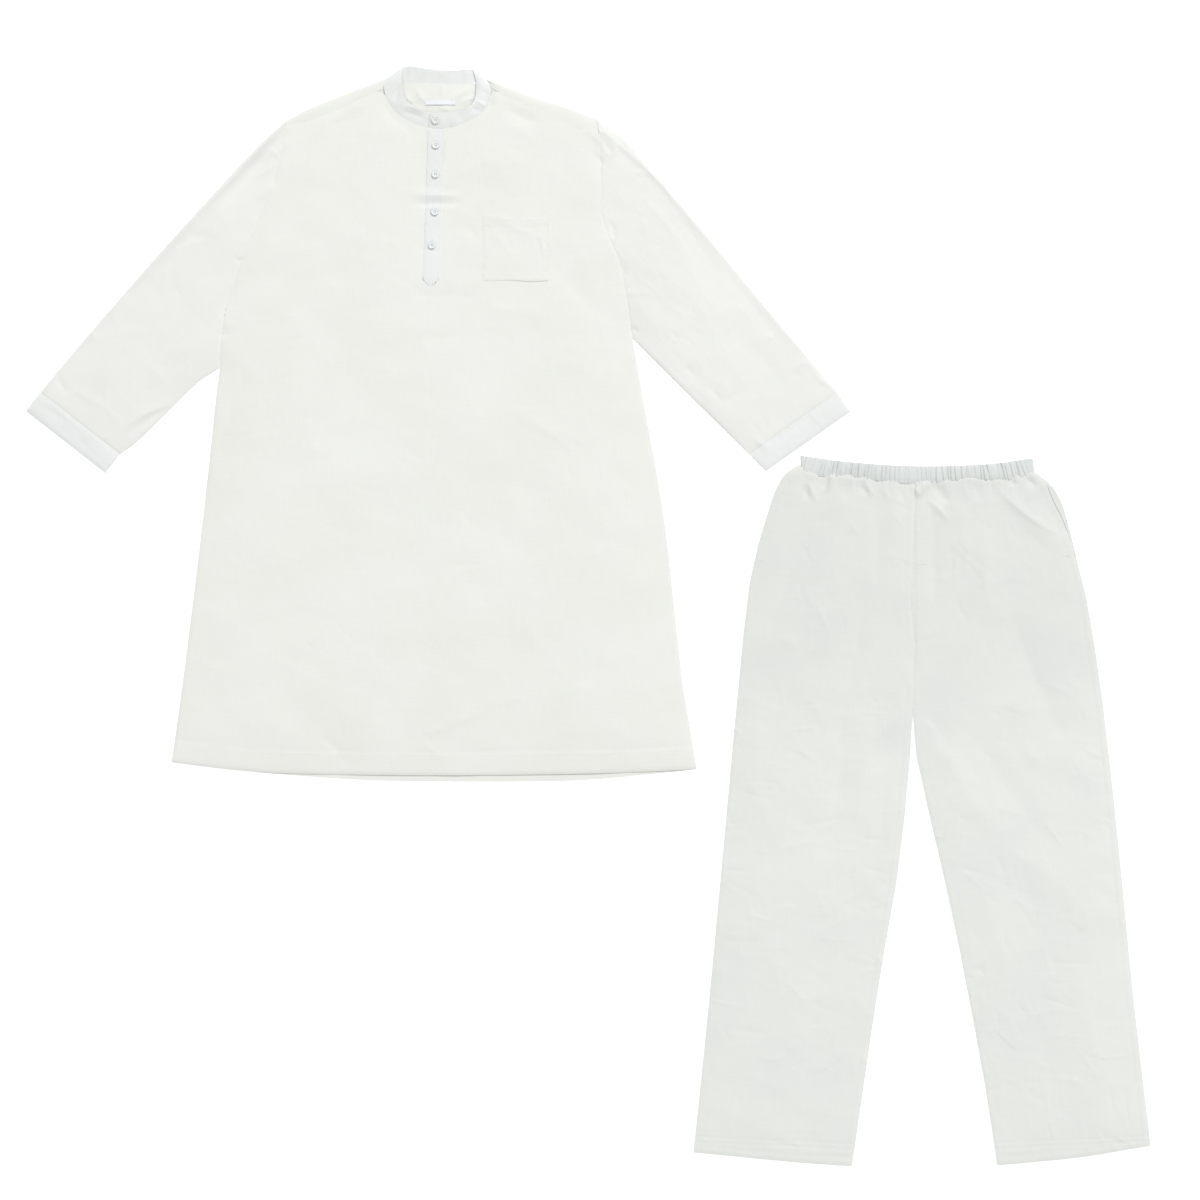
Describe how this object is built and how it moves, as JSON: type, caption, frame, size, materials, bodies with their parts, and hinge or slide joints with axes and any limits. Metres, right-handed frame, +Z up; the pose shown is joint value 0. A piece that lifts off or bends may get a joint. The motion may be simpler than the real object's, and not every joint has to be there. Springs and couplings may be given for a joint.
{
  "type": "thobe and trousers set",
  "caption": "Long band-collar thobe with a buttoned placket and chest pocket, and wide trousers with a gathered elastic waist, laid flat side by side.",
  "frame": {"origin": "centre of the set's bounding box, on the surface that it lies on", "axes": "+X towards the wearer's left, +Y towards the collar, +Z up off the surface, out of the fronts"},
  "size_m": [1.6534, 1.6167, 0.0116],
  "materials": {
    "thobe_cloth": "matt off-white plain-weave cotton, softly creased",
    "interlined_cloth": "matt cool white cotton, doubled and interlined",
    "trouser_cloth": "matt off-white plain-weave cotton, a shade greyer",
    "waistband_cloth": "matt cool white cotton gathered over elastic",
    "label_satin": "smooth white woven label, bare",
    "pearl_button": "polished pearl-white polyester, four holes"
  },
  "bodies": {
    "root": {"thobe_front": "thobe_cloth", "thobe_back": "thobe_cloth", "thobe_sleeve_right": "thobe_cloth", "thobe_sleeve_left": "thobe_cloth", "thobe_pocket": "thobe_cloth", "thobe_cuff_right": "interlined_cloth", "thobe_cuff_left": "interlined_cloth", "thobe_collar": "interlined_cloth", "thobe_placket": "interlined_cloth", "thobe_label": "label_satin", "thobe_button_1": "pearl_button", "thobe_button_2": "pearl_button", "thobe_button_3": "pearl_button", "thobe_button_4": "pearl_button", "thobe_button_5": "pearl_button", "trousers_front_right": "trouser_cloth", "trousers_back_right": "trouser_cloth", "trousers_front_left": "trouser_cloth", "trousers_back_left": "trouser_cloth", "trousers_pocket_facing": "trouser_cloth", "trousers_waistband": "waistband_cloth"}
  },
  "joints": []
}
